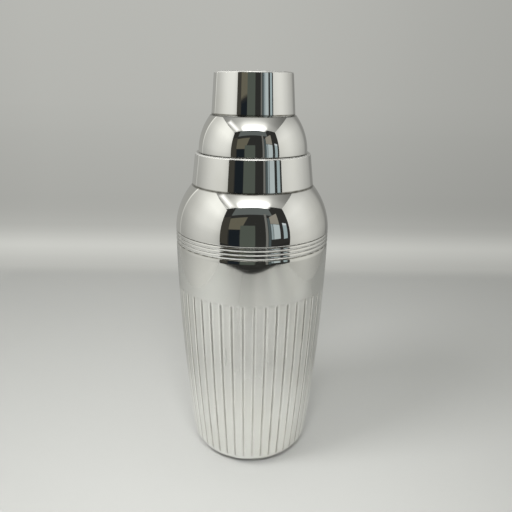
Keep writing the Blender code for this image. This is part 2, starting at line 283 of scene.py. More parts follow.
def add(tree, kind, inputs=None, **settings):
    """A shader node with its settings made, and its inputs set or linked."""
    made = tree.nodes.new(kind)
    for key, value in settings.items():
        setattr(made, key, value)
    for key, value in (inputs or {}).items():
        if isinstance(value, bpy.types.NodeSocket):
            tree.links.new(value, made.inputs[key])
        else:
            made.inputs[key].default_value = value
    return made


def new_material(name):
    """A node material, its tree and its Principled BSDF."""
    material = bpy.data.materials.new(name)
    material.use_nodes = True
    return material, material.node_tree, material.node_tree.nodes["Principled BSDF"]


def remap(tree, value, low, high, to_low, to_high):
    """A value from low to high, spread over another range and held inside it."""
    inputs = {"Value": value, "From Min": low, "From Max": high, "To Min": to_low, "To Max": to_high}
    return add(tree, "ShaderNodeMapRange", inputs).outputs["Result"]


def combine(tree, operation, first, second):
    """A number from two others."""
    return add(tree, "ShaderNodeMath", {0: first, 1: second}, operation=operation).outputs[0]


def blend_colour(tree, share, first, second):
    """The first colour where share is 0, and the second where it is 1."""
    mix = add(tree, "ShaderNodeMix", data_type="RGBA")
    for socket, value in ((mix.inputs[0], share), (mix.inputs[6], first), (mix.inputs[7], second)):
        if isinstance(value, bpy.types.NodeSocket):
            tree.links.new(value, socket)
        else:
            socket.default_value = value
    return mix.outputs[2]


def stretched_noise(tree, place, stretch, scale, detail):
    """Noise whose grain is drawn out along the axes where stretch is small."""
    mapping = add(tree, "ShaderNodeMapping", {"Vector": place, "Scale": stretch})
    inputs = {"Vector": mapping.outputs["Vector"], "Scale": scale, "Detail": detail}
    return add(tree, "ShaderNodeTexNoise", inputs).outputs["Fac"]


def mesh_object(name, verts, faces, material, **attributes):
    """A mesh object in the scene, with its material and its point attributes."""
    mesh = bpy.data.meshes.new(name)
    mesh.from_pydata(verts, [], faces)
    for label, values in attributes.items():
        mesh.attributes.new(label, "FLOAT", "POINT").data.foreach_set("value", values)
    mesh.materials.append(material)
    obj = bpy.data.objects.new(name, mesh)
    bpy.context.scene.collection.objects.link(obj)
    return obj


def hairlines(tree, place):
    """A mask of fine scratches that run in three directions."""
    masks = []
    for stretch in ((1.0, 1.0, 0.04), (0.06, 1.0, 0.7), (1.0, 0.05, 0.5)):
        hair = stretched_noise(tree, place, stretch, 900.0, 2.0)
        masks.append(remap(tree, hair, 0.66, 0.72, 0.0, 1.0))
    return combine(tree, "MAXIMUM", combine(tree, "MAXIMUM", masks[0], masks[1]), masks[2])


def silver_colour(tree, tone, clouds, smears, recess, wear):
    """Silver's own tone, clouded, darker in the recesses, partly tarnished and partly painted shade, and
    warmer where it is rubbed.
    """
    clouded = (tone[0] * 0.955, tone[1] * 0.95, tone[2] * 0.935, 1.0)
    # One dark colour stands for tarnished silver and for painted shade in recesses and gaps.
    tarnish_and_shade_colour = (tone[0] * 0.20, tone[1] * 0.19, tone[2] * 0.16, 1.0)
    rubbed = (min(1.0, tone[0] * 1.03), min(1.0, tone[1] * 1.01), tone[2] * 0.97, 1.0)
    colour = blend_colour(tree, remap(tree, clouds, 0.42, 0.68, 0.0, 1.0), (*tone, 1.0), clouded)
    broken = combine(tree, "MULTIPLY", recess, remap(tree, smears, 0.3, 0.7, 0.55, 1.0))
    colour = blend_colour(tree, broken, colour, tarnish_and_shade_colour)
    return blend_colour(tree, combine(tree, "MULTIPLY", wear, 0.6), colour, rubbed)


def silver_roughness(tree, polish, haze, scratches, clouds, smears, scratch, recess):
    """Roughness from the polish, with cloudy and smeared haze, and more along scratches and in recesses."""
    rough = remap(tree, clouds, 0.35, 0.7, polish, polish + haze)
    rough = combine(tree, "ADD", rough, remap(tree, smears, 0.5, 0.8, 0.0, haze * 0.7))
    rough = combine(tree, "ADD", rough, combine(tree, "MULTIPLY", scratch, scratches * 0.06))
    return combine(tree, "ADD", rough, combine(tree, "MULTIPLY", recess, 0.12))


def silver_relief(tree, place, rings, scratches, scratch):
    """Lathe rings and scratches of about a micron, on slow waves of ten."""
    fine_rings = stretched_noise(tree, place, (0.02, 0.02, 1.0), 2600.0, 2.0)
    height = combine(tree, "MULTIPLY", fine_rings, rings)
    height = combine(tree, "SUBTRACT", height, combine(tree, "MULTIPLY", scratch, scratches))
    fine = add(tree, "ShaderNodeBump", {"Height": height, "Distance": 0.0000012, "Strength": 1.0})
    waves = add(tree, "ShaderNodeTexNoise", {"Vector": place, "Scale": 70.0, "Detail": 1.0})
    swell = {"Height": waves.outputs["Fac"], "Distance": 0.000010, "Normal": fine.outputs["Normal"]}
    return add(tree, "ShaderNodeBump", swell).outputs["Normal"]


def silver(name, tone, polish, haze, rings, scratches):
    """Polished silver with a clouded polish, lathe rings, fine scratches, worn edges, and recesses that are
    partly tarnished and partly painted shade.
    """
    material, tree, shader = new_material(name)
    place = add(tree, "ShaderNodeTexCoord").outputs["Object"]
    recess = add(tree, "ShaderNodeAttribute", attribute_name="recess").outputs["Fac"]
    wear = add(tree, "ShaderNodeAttribute", attribute_name="wear").outputs["Fac"]
    clouds = add(tree, "ShaderNodeTexNoise", {"Vector": place, "Scale": 38.0, "Detail": 5.0}).outputs["Fac"]
    smears = stretched_noise(tree, place, (1.0, 1.0, 0.25), 190.0, 3.0)
    scratch = hairlines(tree, place)
    made = {
        "Base Color": silver_colour(tree, tone, clouds, smears, recess, wear),
        "Roughness": silver_roughness(tree, polish, haze, scratches, clouds, smears, scratch, recess),
        "Normal": silver_relief(tree, place, rings, scratches, scratch),
        "Metallic": remap(tree, wear, 0.0, 1.0, 1.0, MATT_METAL),
    }
    for label, value in made.items():
        tree.links.new(value, shader.inputs[label])
    return material


# Outlines in the (radius, height) plane.


def arc(centre, radius, start, end, count):
    """Points of a circular arc from angle start to angle end, in degrees."""
    angles = [math.radians(start + (end - start) * i / count) for i in range(count + 1)]
    return [(centre[0] + radius * math.cos(a), centre[1] + radius * math.sin(a)) for a in angles]


def ellipse_line(radius, rise, base_z, start_radius, end_radius, count):
    """Points down an elliptical dome, from start_radius out to end_radius, evenly spaced in angle."""
    first = math.asin(start_radius / radius)
    last = math.asin(min(1.0, end_radius / radius))
    angles = [first + (last - first) * i / count for i in range(count + 1)]
    return [(radius * math.sin(a), base_z + rise * math.cos(a)) for a in angles]


def soften(section):
    """Rounds the corners of a section of (radius, height, round) points, and turns round into wear."""
    made = []
    count = len(section)
    for i, (r, z, rounding) in enumerate(section):
        if not rounding:
            made.append((r, z, 0.0))
            continue
        here = Vector((r, z))
        before = Vector(section[i - 1][:2]) - here
        after = Vector(section[(i + 1) % count][:2]) - here
        opening = before.angle(after)
        reach = min(rounding / math.tan(opening / 2), before.length * 0.45, after.length * 0.45)
        radius = reach * math.tan(opening / 2)
        middle = (before.normalized() + after.normalized()).normalized()
        centre = here + middle * (radius / math.sin(opening / 2))
        first = here + before.normalized() * reach - centre
        last = here + after.normalized() * reach - centre
        turn = first.angle_signed(last)
        for k in range(7):
            angle = -turn * k / 6
            spoke = Matrix.Rotation(angle, 2) @ first
            made.append((centre.x + spoke.x, centre.y + spoke.y, EDGE_WEAR if 0 < k < 6 else 0.0))
    return made


def plain(points):
    """Section points for (radius, height) points that are neither rounded nor worn."""
    return [(r, z, 0.0) for r, z in points]


def even_angles(count):
    """Evenly spaced angles round a full turn."""
    return [2 * math.pi * i / count for i in range(count)]


def ring_faces(rings, count, closed):
    """Faces between neighbouring rings of point numbers, and from the last to the first if closed."""
    pairs = list(zip(rings, rings[1:]))
    if closed:
        pairs.append((rings[-1], rings[0]))
    faces = []
    for upper, lower in pairs:
        for i in range(count):
            j = (i + 1) % count
            corners = dict.fromkeys((upper[i], lower[i], lower[j], upper[j]))
            faces.append(tuple(corners))
    return faces


def turned(name, section, material, angles=None, relief=None, painted_shade=None):
    """A piece turned about Z from a section of (radius, height, wear) points that runs down its outer side.

    The section closes on itself, unless both its ends are on the axis. relief(angle, radius, height) gives
    how far the surface is pressed in, how dark it is, partly tarnished and partly painted shade, and how
    worn it is. A last function of (radius, height) adds painted shade in gaps and under edges.
    """
    angles = angles or even_angles(SEGMENTS)
    verts, wear, recess, rings = [], [], [], []
    for r, z, worn in section:
        if r < ON_AXIS:
            rings.append([len(verts)] * len(angles))
            verts.append((0.0, 0.0, z))
            wear.append(0.0)
            recess.append(0.0)
            continue
        rings.append(range(len(verts), len(verts) + len(angles)))
        # Painted shade in the gaps and under the edges, where shade falls.
        dark = painted_shade(r, z) if painted_shade else 0.0
        for a in angles:
            depth, shaded, rubbed = relief(a, r, z) if relief else (0.0, 0.0, 0.0)
            verts.append(((r - depth) * math.cos(a), (r - depth) * math.sin(a), z))
            recess.append(min(1.0, dark + shaded))
            wear.append(max(worn, rubbed) * (1 - recess[-1]))
    closed = section[0][0] > ON_AXIS or section[-1][0] > ON_AXIS
    faces = ring_faces(rings, len(angles), closed)
    obj = mesh_object(name, verts, faces, material, wear=wear, recess=recess)
    obj.data.shade_smooth()
    normals = obj.modifiers.new("Face weighted normals", "WEIGHTED_NORMAL")
    normals.weight = 80
    return obj


# The vessel.


def taper_radius(z):
    """Outer radius of the vessel's wall at a height below its widest point."""
    return MAX_RADIUS - TAPER * ((WIDEST_Z - z) / WIDEST_Z) ** TAPER_POWER


def foot_arc(count, inset=0.0):
    """The round at the foot, from where it leaves the tapered wall to the flat that rests."""
    slope = TAPER * TAPER_POWER / WIDEST_Z * ((WIDEST_Z - FOOT_ROUND) / WIDEST_Z) ** (TAPER_POWER - 1)
    lean = math.atan(slope)
    tangent_z = FOOT_ROUND * (1 - math.sin(lean))
    centre = (taper_radius(tangent_z) - FOOT_ROUND * math.cos(lean), FOOT_ROUND)
    return arc(centre, FOOT_ROUND - inset, -math.degrees(lean), -90, count)


def flute_angles():
    """Angles round the vessel: close together across each flute, and wide apart on the panels."""
    half = FLUTE_HALF_WIDTH / MAX_RADIUS
    near = [half * 1.1 * i / 6 for i in range(-6, 7)]
    far = [half * 1.1 + (FLUTE_PITCH - half * 2.2) * i / 7 for i in range(1, 7)]
    start = FLUTE_PHASE - math.pi / 2
    return [start + k * FLUTE_PITCH + offset for k in range(FLUTE_COUNT) for offset in near + far]


def flute_relief(angle, radius, z):
    """How far the outer wall is pressed in, a groove's dark of tarnished silver and painted shade, and its
    flanks' wear.
    """
    if radius < taper_radius(min(z, WIDEST_Z)) - SHEET / 2 or not FLUTE_BOTTOM_Z < z < FLUTE_TOP_Z:
        return 0.0, 0.0, 0.0
    offset = (angle - FLUTE_PHASE + math.pi / 2 + FLUTE_PITCH / 2) % FLUTE_PITCH - FLUTE_PITCH / 2
    from_end = min(FLUTE_TOP_Z - z, z - FLUTE_BOTTOM_Z)
    full = math.sin(min(1.0, from_end / FLUTE_RUN_OUT) * math.pi / 2)
    across = abs(offset) * MAX_RADIUS / (FLUTE_HALF_WIDTH * (0.4 + 0.6 * full))
    groove = 0.5 + 0.5 * math.cos(min(1.0, across) * math.pi)
    crown = (offset / (FLUTE_PITCH / 2)) ** 2 * PANEL_CROWN * full
    # Painted shade: the grooves darken more towards the sides, where they turn away and shade themselves; the
    # rest of their dark is tarnished silver.
    at_side = FLUTE_SHADE_FRONT + (1 - FLUTE_SHADE_FRONT) * abs(math.cos(angle))
    dark = min(1.0, max(0.0, 1.0 - across / 0.8) * 1.8) * full * at_side
    flank = min(1.0, max(0.0, 1.0 - abs(across - 1.0) / 0.5) * 1.5) * full * at_side
    return FLUTE_DEPTH * groove * full + crown, dark, flank * FLANK_WEAR


def wall_heights(start_z):
    """Heights down the tapered wall from start_z, close together where the flutes run out at the top."""
    above = FLUTE_TOP_Z + FLUTE_MARGIN
    below = FLUTE_TOP_Z - FLUTE_RUN_OUT
    heights = []
    for high, low, count in ((start_z, above, 8), (above, below, 14), (below, WALL_START_Z, 26)):
        heights += [high + (low - high) * i / count for i in range(1, count + 1)]
    return heights


def make_vessel_wall(material):
    """The tapered wall: a soft last reed, a plain belt, the flutes, the round foot and the resting ring."""
    lap_radius = MAX_RADIUS - SHEET - GAP
    seam_z = BAND_BOTTOM_Z - GAP
    outer = [(lap_radius, LAP_TOP_Z), (lap_radius, seam_z)]
    for i in range(9):
        z = seam_z - LAST_REED_HEIGHT * i / 8
        dip = REED_DEPTH * (1 - math.sin(math.pi * i / 16))
        outer.append((taper_radius(z) - dip, z))
    foot = foot_arc(14)
    outer += [(taper_radius(z), z) for z in wall_heights(outer[-1][1]) if z > foot[0][1]]
    outer += foot
    inner = [(REST_HOLE_RADIUS, REST_Z), (REST_HOLE_RADIUS, REST_Z + SHEET)]
    inner += reversed(foot_arc(8, inset=SHEET))
    joggle_z = seam_z - SHEET
    for i in range(13):
        z = WALL_START_Z + (joggle_z - WALL_START_Z) * i / 12
        inner.append((taper_radius(z) - SHEET, z))
    inner += [(lap_radius - SHEET, joggle_z), (lap_radius - SHEET, LAP_TOP_Z)]
    # Painted shade along the seam under the reeded ring.
    painted_shade = lambda r, z: 0.5 if abs(z - seam_z) < GAP else 0.0
    return turned("vessel_wall", plain(outer + inner), material, flute_angles(), flute_relief, painted_shade)


def make_base_disc(material):
    """The pressed disc with a raised middle, over the hole in the foot."""
    rise = PLATE_TOP_Z - PLATE_Z - SHEET
    dish = [(PLATE_RADIUS * i / 16, rise * (1 - (i / 16) ** 2) ** 2) for i in range(17)]
    upper = [(r, PLATE_Z + SHEET + z) for r, z in dish]
    lower = [(r, PLATE_Z + z) for r, z in reversed(dish)]
    return turned("base_disc", plain(upper + lower), material)


def make_reeded_ring(material):
    """Three rounded reeds, side by side on one collar."""
    inner = MAX_RADIUS - SHEET
    pitch = (BAND_TOP_Z - BAND_BOTTOM_Z) / REED_COUNT
    half = pitch / 2
    ball = (half**2 + REED_DEPTH**2) / (2 * REED_DEPTH)
    reach = math.degrees(math.asin(half / ball))
    outline = [(inner, BAND_TOP_Z)]
    for k in range(REED_COUNT):
        centre = (MAX_RADIUS - ball, BAND_TOP_Z - pitch * (k + 0.5))
        reed = arc(centre, ball, reach, -reach, 12)
        outline += reed if k == 0 else reed[1:]
    outline.append((inner, BAND_BOTTOM_Z))
    # Painted shade in the grooves between the reeds.
    painted_shade = lambda r, z: max(0.0, 1.0 - (r - MAX_RADIUS + REED_DEPTH) / (REED_DEPTH * 0.45))
    return turned("reeded_ring", plain(outline), material, painted_shade=painted_shade)


def make_shoulder_dome(material):
    """The spun dome from the reeds in to the neck, with painted shade where the lid and the reeds meet it."""
    edge = [(MAX_RADIUS - inset, SHOULDER_EDGE_Z + above) for inset, above in SHOULDER_EDGE_POINTS]
    reach = MAX_RADIUS * NEAR_EDGE
    outer = ellipse_line(MAX_RADIUS, SHOULDER_RISE, WIDEST_Z, SHOULDER_HOLE_RADIUS, reach, 80)
    outer = [(r, z) for r, z in outer if z > edge[0][1] + DOME_STEP]
    sheet_radius = MAX_RADIUS - SHEET
    hole = SHOULDER_HOLE_RADIUS - HOLE_BEVEL
    inner = ellipse_line(sheet_radius, SHOULDER_RISE - SHEET, WIDEST_Z, hole, SHOULDER_INNER_EDGE, 20)
    outline = outer + edge + [(sheet_radius, SHOULDER_EDGE_Z)] + inner[::-1]
    # Painted shade under the lid's edge and just above the reeds.
    painted_shade = lambda r, z: 0.9 if r < LID_RADIUS + GAP else max(0.0, 0.7 - (z - SHOULDER_EDGE_Z) / 0.0005)
    return turned("shoulder_dome", plain(outline), material, painted_shade=painted_shade)


def make_neck_sleeve(material):
    """The tapered neck that the lid slides over, with a rounded lip and a flared foot."""
    inset = SHEET + GAP
    flare = ellipse_line(
        MAX_RADIUS - inset, SHOULDER_RISE - inset, WIDEST_Z, NECK_BOTTOM_RADIUS, NECK_FOOT_RADIUS, 5
    )
    root_z = flare[0][1]
    slant = SHEET * 0.7
    section = [(NECK_TOP_RADIUS, NECK_TOP_Z, EDGE_ROUND), (NECK_BOTTOM_RADIUS, root_z + inset, 0.0)]
    section += plain(flare)
    section += plain((r - slant, z - slant) for r, z in reversed(flare))
    section.append((NECK_BOTTOM_RADIUS - SHEET, root_z + GAP, 0.0))
    section.append((NECK_TOP_RADIUS - SHEET, NECK_TOP_Z, EDGE_ROUND))
    return turned("neck_sleeve", soften(section), material)


# The strainer lid and the cap.


def edge_shade(above):
    """Painted shade along the open edge of the lid or the cap, by how far above the edge a point is."""
    return 1.0 if above < EDGE_SHADE_REACH else 0.0


def near_edge(radius, z, top_radius, top_z):
    """Two points on a tapered wall, just above its open edge, that end the line of painted shade there."""
    slope = (top_radius - radius) / (top_z - z)
    steps = (EDGE_SHADE_REACH * 1.7, EDGE_SHADE_REACH * 0.99)
    return plain((radius + slope * above, z + above) for above in steps)


def lid_radius(z):
    """Outer radius of the lid's tapered band."""
    return LID_RADIUS + (LEDGE_RADIUS - LID_RADIUS) * (z - LID_BOTTOM_Z) / (LEDGE_Z - LID_BOTTOM_Z)


def make_lid_sleeve(material):
    """The tapered sleeve of the lid, turned in at the top as the ledge that the dome stands on."""
    under = LEDGE_Z - LID_WALL
    section = [
        (LEDGE_HOLE_RADIUS, LEDGE_Z, 0.0),
        (LEDGE_RADIUS, LEDGE_Z, CORNER_ROUND),
        *near_edge(LID_RADIUS, LID_BOTTOM_Z, LEDGE_RADIUS, LEDGE_Z),
        (LID_RADIUS, LID_BOTTOM_Z, EDGE_ROUND),
        (LID_RADIUS - LID_WALL, LID_BOTTOM_Z + LID_RIM_SLANT, EDGE_ROUND),
        (lid_radius(under) - LID_WALL, under, 0.0),
        (LEDGE_HOLE_RADIUS, under, 0.0),
    ]
    # Painted shade on the ledge under the dome and along the open bottom edge.
    painted_shade = lambda r, z: 0.6 if z > LEDGE_Z - GAP and r < DOME_RADIUS + GAP else edge_shade(z - LID_BOTTOM_Z)
    return turned("lid_sleeve", soften(section), material, painted_shade=painted_shade)


def make_lid_crown(material):
    """The dome of the lid, with a flat seat for the cap's edge."""
    base = DOME_BASE_Z - GAP
    rise = (SEAT_Z - base) / math.sqrt(1 - (SEAT_RADIUS / DOME_RADIUS) ** 2)
    hole = POUR_BOTTOM_RADIUS + GAP
    outer = ellipse_line(DOME_RADIUS, rise, base, SEAT_RADIUS, DOME_RADIUS * NEAR_EDGE, 40)
    outer = [(r, z) for r, z in outer if z > DOME_BASE_Z] + [(DOME_RADIUS, DOME_BASE_Z)]
    sheet_radius = DOME_RADIUS - SHEET
    inner = ellipse_line(sheet_radius, rise - SHEET * 1.2, base, SEAT_RADIUS - SHEET, DOME_INNER_EDGE, 16)
    outline = [(hole, SEAT_Z), *outer, (sheet_radius, DOME_BASE_Z), *inner[::-1], (hole, SEAT_Z - SHEET)]
    # Painted shade on the seat under the cap and low on the dome where it meets the ledge.
    painted_shade = lambda r, z: 1.0 if z > SEAT_Z - GAP / 2 else max(0.0, 0.5 - (z - DOME_BASE_Z) / 0.0008)
    return turned("lid_crown", plain(outline), material, painted_shade=painted_shade)


def make_pouring_neck(material):
    """The tapered pouring neck, with a rounded lip and a flange under the dome's seat."""
    flange_top = FLANGE_Z + POUR_WALL
    section = [
        (POUR_TOP_RADIUS, POUR_TOP_Z, EDGE_ROUND),
        (POUR_BOTTOM_RADIUS, SEAT_Z, 0.0),
        (POUR_BOTTOM_RADIUS, flange_top, 0.0),
        (FLANGE_RADIUS, flange_top, 0.0),
        (FLANGE_RADIUS, FLANGE_Z, 0.0),
        (POUR_BOTTOM_RADIUS - POUR_WALL, FLANGE_Z, 0.0),
        (POUR_BOTTOM_RADIUS - POUR_WALL, SEAT_Z, 0.0),
        (POUR_TOP_RADIUS - POUR_WALL, POUR_TOP_Z, EDGE_ROUND),
    ]
    return turned("pouring_neck", soften(section), material)


def hole_centres():
    """One hole in the middle, and rows of six more holes each round it."""
    centres = [(0.0, 0.0)]
    for row in range(1, HOLE_ROWS + 1):
        for i in range(6 * row):
            angle = 2 * math.pi * i / (6 * row)
            radius = row * HOLE_ROW_SPACING
            centres.append((radius * math.cos(angle), radius * math.sin(angle)))
    return centres


def hole_pins(depth):
    """Round pins where the strainer's holes are, in one object."""
    pins = bmesh.new()
    middle = (STRAINER_Z + STRAINER_TOP_Z) / 2
    pin = {"segments": HOLE_SEGMENTS, "radius1": HOLE_RADIUS, "radius2": HOLE_RADIUS, "depth": depth}
    for x, y in hole_centres():
        made = bmesh.ops.create_cone(pins, cap_ends=True, **pin)
        bmesh.ops.translate(pins, verts=made["verts"], vec=(x, y, middle))
    mesh = bpy.data.meshes.new("hole_pins")
    pins.to_mesh(mesh)
    pins.free()
    tool = bpy.data.objects.new("hole_pins", mesh)
    bpy.context.scene.collection.objects.link(tool)
    return tool


def without_centre_points(mesh):
    """Makes one flat face of each fan of faces round the axis, so that holes cut in it leave no slivers."""
    flat = bmesh.new()
    flat.from_mesh(mesh)
    bmesh.ops.dissolve_verts(flat, verts=[vert for vert in flat.verts if vert.co.xy.length < GAP])
    flat.to_mesh(mesh)
    flat.free()


def make_strainer_disc(material):
    """The perforated disc across the foot of the pouring neck, with round drilled holes."""
    section = [
        (0.0, STRAINER_TOP_Z, 0.0),
        (STRAINER_RADIUS, STRAINER_TOP_Z, EDGE_ROUND),
        (STRAINER_RADIUS, STRAINER_Z, EDGE_ROUND),
        (0.0, STRAINER_Z, 0.0),
    ]
    disc = turned("strainer_disc", soften(section), material, even_angles(DISC_SEGMENTS))
    without_centre_points(disc.data)
    tool = hole_pins((STRAINER_TOP_Z - STRAINER_Z) * 4)
    disc.modifiers.clear()
    cut = disc.modifiers.new("Holes", "BOOLEAN")
    cut.solver = "EXACT"
    cut.object = tool
    bpy.context.view_layer.update()
    graph = bpy.context.evaluated_depsgraph_get()
    drilled = bpy.data.meshes.new_from_object(disc.evaluated_get(graph))
    disc.modifiers.clear()
    disc.data = drilled
    bpy.data.objects.remove(tool, do_unlink=True)
    drilled.set_sharp_from_angle(angle=math.radians(35))
    return disc


def make_cap_shell(material):
    """The tapered cap, drawn in one piece with its flat top."""
    top_inside = CAP_TOP_Z - SHEET
    section = [
        (0.0, CAP_TOP_Z, 0.0),
        (CAP_TOP_RADIUS, CAP_TOP_Z, CORNER_ROUND),
        *near_edge(CAP_RADIUS, CAP_BOTTOM_Z, CAP_TOP_RADIUS, CAP_TOP_Z),
        (CAP_RADIUS, CAP_BOTTOM_Z, EDGE_ROUND),
        (CAP_RADIUS - SHEET, CAP_BOTTOM_Z, EDGE_ROUND),
        (CAP_TOP_RADIUS - SHEET, top_inside, CORNER_ROUND / 2),
        (0.0, top_inside, 0.0),
    ]
    # Painted shade along the open bottom edge, where the cap stands over the lid.
    painted_shade = lambda r, z: edge_shade(z - CAP_BOTTOM_Z)
    return turned("cap_shell", soften(section), material, painted_shade=painted_shade)


def make_shaker():
    """Every piece of the shaker, in place of its CAD node and in its own silver."""
    fluted = silver("fluted_silver_look", (0.92, 0.92, 0.89), 0.030, 0.035, 0.6, 0.6)
    mirror = silver("mirror_silver_look", (0.93, 0.93, 0.91), 0.012, 0.022, 0.5, 0.5)
    neck = silver("neck_silver_look", (0.88, 0.88, 0.86), 0.06, 0.07, 6.0, 1.5)
    base = silver("base_silver_look", (0.82, 0.82, 0.80), 0.16, 0.10, 3.0, 3.0)
    steel = silver("strainer_steel_look", (0.76, 0.76, 0.75), 0.18, 0.08, 4.0, 1.5)
    pieces = (
        (make_vessel_wall, fluted, "fluted_body", "vessel", "fluted_silver"),
        (make_base_disc, base, "base_plate", "vessel", "base_silver"),
        (make_reeded_ring, mirror, "ring_band", "vessel", "mirror_silver"),
        (make_shoulder_dome, mirror, "shoulder", "vessel", "mirror_silver"),
        (make_neck_sleeve, neck, "neck_collar", "vessel", "neck_silver"),
        (make_lid_sleeve, mirror, "lid_band", "strainer_lid", "mirror_silver"),
        (make_lid_crown, mirror, "lid_dome", "strainer_lid", "mirror_silver"),
        (make_pouring_neck, neck, "pour_neck", "strainer_lid", "neck_silver"),
        (make_strainer_disc, steel, "strainer_plate", "strainer_lid", "strainer_steel"),
        (make_cap_shell, mirror, "cap", "cap", "mirror_silver"),
    )
    for make, look, node, body, slot in pieces:
        piece = make(look)
        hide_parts(node)
        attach(piece, body)


# The tent, the floor and the camera.


def light_of(shade):
    """The light that a panel gives off, so that it looks like a display shade from 0 to 1 in the silver."""
    linear = shade / 12.92 if shade <= 0.04045 else ((shade + 0.055) / 1.055) ** 2.4
    return linear / SILVER_SHARE


def fade(tree, value, stops):
    """A smooth course through stops of (metres, share), held level beyond its ends."""
    low, high = stops[0][0], stops[-1][0]
    ramp = add(tree, "ShaderNodeValToRGB", {"Fac": remap(tree, value, low, high, 0.0, 1.0)})
    elements = ramp.color_ramp.elements
    ramp.color_ramp.interpolation = "CARDINAL"
    while len(elements) < len(stops):
        elements.new(0.5)
    for element, (place, share) in zip(elements, stops):
        element.position = (place - low) / (high - low)
        element.color = (share, share, share, 1.0)
    return ramp.outputs["Color"]


def shades(stops):
    """The light for each stop of (metres, display shade)."""
    return [(place, light_of(shade)) for place, shade in stops]


def faded_light(tree, tint, light, fades):
    """Emission of a light that is scaled by each fade of (axis, stops)."""
    place = add(tree, "ShaderNodeTexCoord").outputs["Object"]
    axes = add(tree, "ShaderNodeSeparateXYZ", {0: place})
    strength = light
    for axis, stops in fades:
        strength = combine(tree, "MULTIPLY", fade(tree, axes.outputs[axis], stops), strength)
    return add(tree, "ShaderNodeEmission", {"Color": (*tint, 1.0), "Strength": strength}).outputs[0]


def surface_material(name):
    """A material without a shader yet, its tree and the socket of its surface."""
    material, tree, shader = new_material(name)
    tree.nodes.remove(shader)
    return material, tree, tree.nodes["Material Output"].inputs["Surface"]


def glow(name, tint, light, fades=(), falloff=1.0):
    """A material that gives off light where its soft attribute is 1, and is clear where it is 0."""
    material, tree, surface = surface_material(name)
    lit = faded_light(tree, tint, light, fades)
    clear = add(tree, "ShaderNodeBsdfTransparent")
    soft = add(tree, "ShaderNodeAttribute", attribute_name="soft").outputs["Fac"]
    share = combine(tree, "POWER", soft, falloff)
    mixed = add(tree, "ShaderNodeMixShader", {0: share, 1: clear.outputs[0], 2: lit})
    tree.links.new(mixed.outputs[0], surface)
    return material


def added_glow(name, tint, light, fades):
    """A clear material that adds light to what is behind it."""
    material, tree, surface = surface_material(name)
    lit = faded_light(tree, tint, light, fades)
    clear = add(tree, "ShaderNodeBsdfTransparent")
    both = add(tree, "ShaderNodeAddShader", {0: clear.outputs[0], 1: lit})
    tree.links.new(both.outputs[0], surface)
    return material


def panel(name, corners, material, edge=0.0):
    """A flat panel with a soft edge, which shows in reflections and not in the picture itself."""
    verts = [Vector(corner) for corner in corners]
    count = len(verts)
    faces = [tuple(range(count))]
    soft = [1.0] * count
    if edge:
        for i in range(count):
            back = (verts[i - 1] - verts[i]).normalized()
            ahead = (verts[(i + 1) % count] - verts[i]).normalized()
            verts.append(verts[i] + (back + ahead) * edge)
        faces = [(i, (i + 1) % count, count + (i + 1) % count, count + i) for i in range(count)]
        faces.append(tuple(range(count, 2 * count)))
        soft = [0.0] * count + [1.0] * count
    obj = mesh_object(name, verts, faces, material, soft=soft)
    obj.visible_camera = False
    obj.visible_shadow = False
    obj.visible_diffuse = False


def level(name, outline, z, material, edge=0.0):
    """A level panel with its corners at points of (x, y)."""
    panel(name, [(x, y, z) for x, y in outline], material, edge)


def rectangle(left, right, front, back):
    """Its corners, counter-clockwise from above."""
    return [(left, front), (right, front), (right, back), (left, back)]


def upright(name, start, end, low, high, light, fades=(), edge=0.0, tint=WALL_TINT):
    """A standing lit panel between two floor points."""
    corners = [(*start, low), (*end, low), (*end, high), (*start, high)]
    panel(name, corners, glow(name, tint, light, fades), edge)


def make_tent():
    """All that the silver mirrors besides the floor itself."""
    make_walls()
    make_folds()
    make_ceiling()
    make_floor_shade()
    make_floor_lights()
    make_room()


def make_walls():
    """White side walls, a grey back wall, and the light line at the left one's back edge."""
    left_back = (TENT_LEFT, LEFT_BACK)
    left_corner = (TENT_LEFT, TENT_BACK)
    right_corner = (TENT_RIGHT, TENT_BACK)
    fades = (("Z", shades(LEFT_WALL_UP)), ("Y", LEFT_WALL_DEEP))
    upright("left_wall", (TENT_LEFT, LEFT_FRONT), left_back, 0.0, TENT_TOP, 1.0, fades)
    fades = (("Z", shades(RIGHT_WALL_UP)), ("Y", RIGHT_WALL_DEEP))
    upright("right_wall", (TENT_RIGHT, RIGHT_FRONT), right_corner, 0.0, TENT_TOP, 1.0, fades)
    upright("left_back_wall", left_back, left_corner, 0.0, TENT_TOP, light_of(BACK_WALL_ACROSS[0][1]))
    fades = [("X", shades(BACK_WALL_ACROSS))]
    upright("back_wall", left_corner, right_corner, 0.0, TENT_TOP, 1.0, fades)
    x = TENT_LEFT + CORNER_LINE_INSET
    start = (x, LEFT_BACK - CORNER_LINE_REACH)
    end = (x, LEFT_BACK + CORNER_LINE_REACH)
    fades = [("Z", shades(CORNER_LINE_UP))]
    upright("left_corner_line", start, end, 0.0, TENT_TOP, 1.0, fades, CORNER_LINE_REACH * 0.7)


def make_folds():
    """Soft strips that round off the folds between the floor and the side walls."""
    folds = (
        ("left_fold", TENT_LEFT + FOLD_INSET, LEFT_FOLD_SHADE, LEFT_WALL_DEEP),
        ("right_fold", TENT_RIGHT - FOLD_INSET, RIGHT_FOLD_SHADE, RIGHT_WALL_DEEP),
    )
    for name, x, shade, deep in folds:
        start = (x, LEFT_FRONT)
        end = (x, TENT_BACK)
        light = light_of(shade)
        upright(name, start, end, -FOLD_HEIGHT, FOLD_HEIGHT, light, [("Y", deep)], FOLD_HEIGHT * 0.75)


